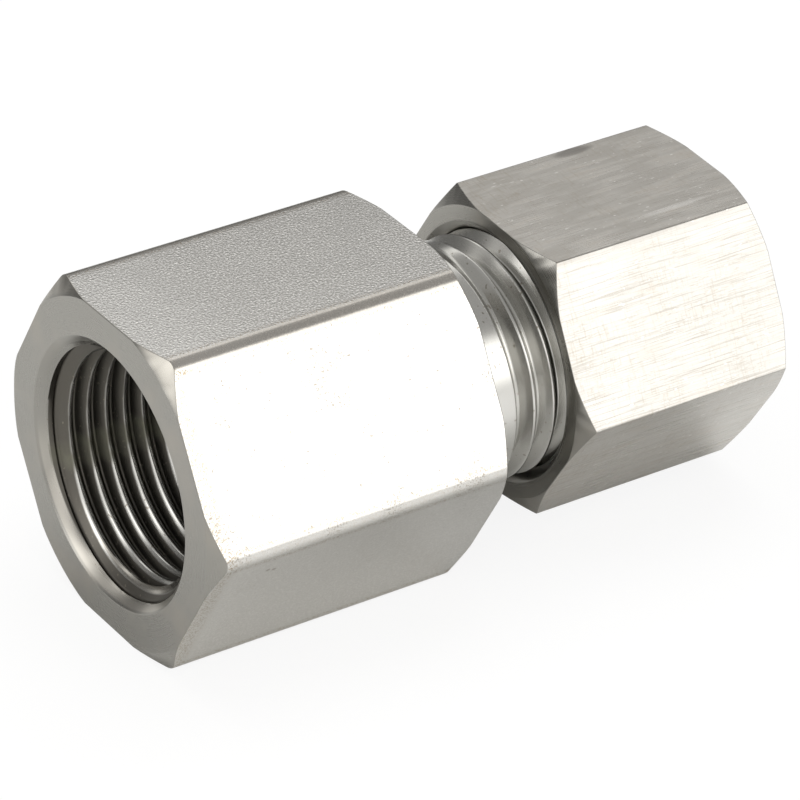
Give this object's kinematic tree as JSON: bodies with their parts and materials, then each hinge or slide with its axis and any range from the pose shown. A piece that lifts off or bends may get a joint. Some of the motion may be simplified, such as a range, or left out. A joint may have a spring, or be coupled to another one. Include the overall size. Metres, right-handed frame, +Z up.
{
  "type": "female stud fitting",
  "caption": "Hexagonal stainless tube fitting with a female parallel-thread port at one end and a 24 degree cone stud with cutting ring and union nut at the other.",
  "frame": {"origin": "middle of the port's end face, on the fitting's axis", "axes": "+X along the axis from the female port to the tube end, +Z up from the flat that the body lies on"},
  "size_m": [0.0445, 0.0252, 0.022],
  "materials": {
    "body_steel": "stainless steel, turned ends and grainy pickled flats",
    "nut_steel": "stainless steel, turned ends and cold-drawn flats with fine lengthwise lines",
    "ring_steel": "stainless steel, fine turned"
  },
  "bodies": {
    "fitting_body": {"fitting_body": "body_steel"},
    "cutting_ring": {"cutting_ring": "ring_steel"},
    "union_nut": {"union_nut": "nut_steel"}
  },
  "joints": [
    {"name": "ring_travel", "type": "slide", "parent": "fitting_body", "child": "cutting_ring", "axis": [1, 0, 0], "range_m": [-0.00076, 0.00376]},
    {"name": "nut_turn", "type": "hinge", "parent": "cutting_ring", "child": "union_nut", "pos_m": [0.0363, 0, 0], "axis": [1, 0, 0], "range_deg": [-180, 900]}
  ],
  "couplings": [
    {"joint": "ring_travel", "follows": "nut_turn", "m_per_rad": 0.00023873}
  ]
}
